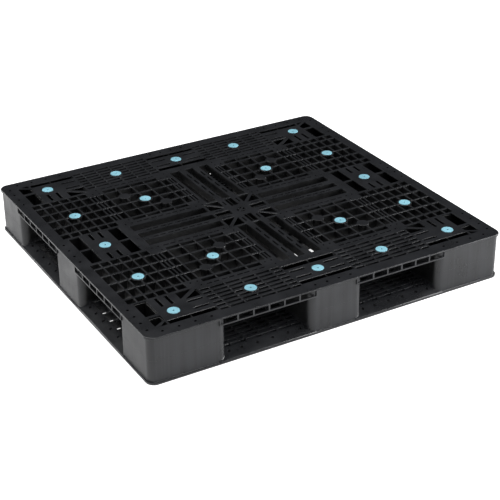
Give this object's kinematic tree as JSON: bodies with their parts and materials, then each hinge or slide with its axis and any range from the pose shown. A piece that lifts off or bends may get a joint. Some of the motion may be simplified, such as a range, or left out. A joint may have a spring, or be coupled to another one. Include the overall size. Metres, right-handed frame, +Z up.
{
  "type": "plastic pallet",
  "caption": "Four-way plastic block pallet with an open grid deck, nine hollow posts, ramped lower rims, truck wheel openings and round anti-slip grommets.",
  "frame": {"origin": "centre of the footprint, on the floor", "axes": "+Z up, +X along the longer side, +Y from the front face to the back face"},
  "size_m": [1.2, 1.1, 0.151],
  "materials": {
    "pallet_plastic": "matt moulded polyolefin, dark grey, fine mould grain",
    "grommet_rubber": "satin pale blue rubber"
  },
  "bodies": {
    "root": {"upper_moulding": "pallet_plastic", "lower_moulding": "pallet_plastic", "deck_grommet_01": "grommet_rubber", "deck_grommet_02": "grommet_rubber", "deck_grommet_03": "grommet_rubber", "deck_grommet_04": "grommet_rubber", "deck_grommet_05": "grommet_rubber", "deck_grommet_06": "grommet_rubber", "deck_grommet_07": "grommet_rubber", "deck_grommet_08": "grommet_rubber", "deck_grommet_09": "grommet_rubber", "deck_grommet_10": "grommet_rubber", "deck_grommet_11": "grommet_rubber", "deck_grommet_12": "grommet_rubber", "deck_grommet_13": "grommet_rubber", "deck_grommet_14": "grommet_rubber", "deck_grommet_15": "grommet_rubber", "deck_grommet_16": "grommet_rubber", "deck_grommet_17": "grommet_rubber", "deck_grommet_18": "grommet_rubber", "deck_grommet_19": "grommet_rubber", "deck_grommet_20": "grommet_rubber"}
  },
  "joints": []
}
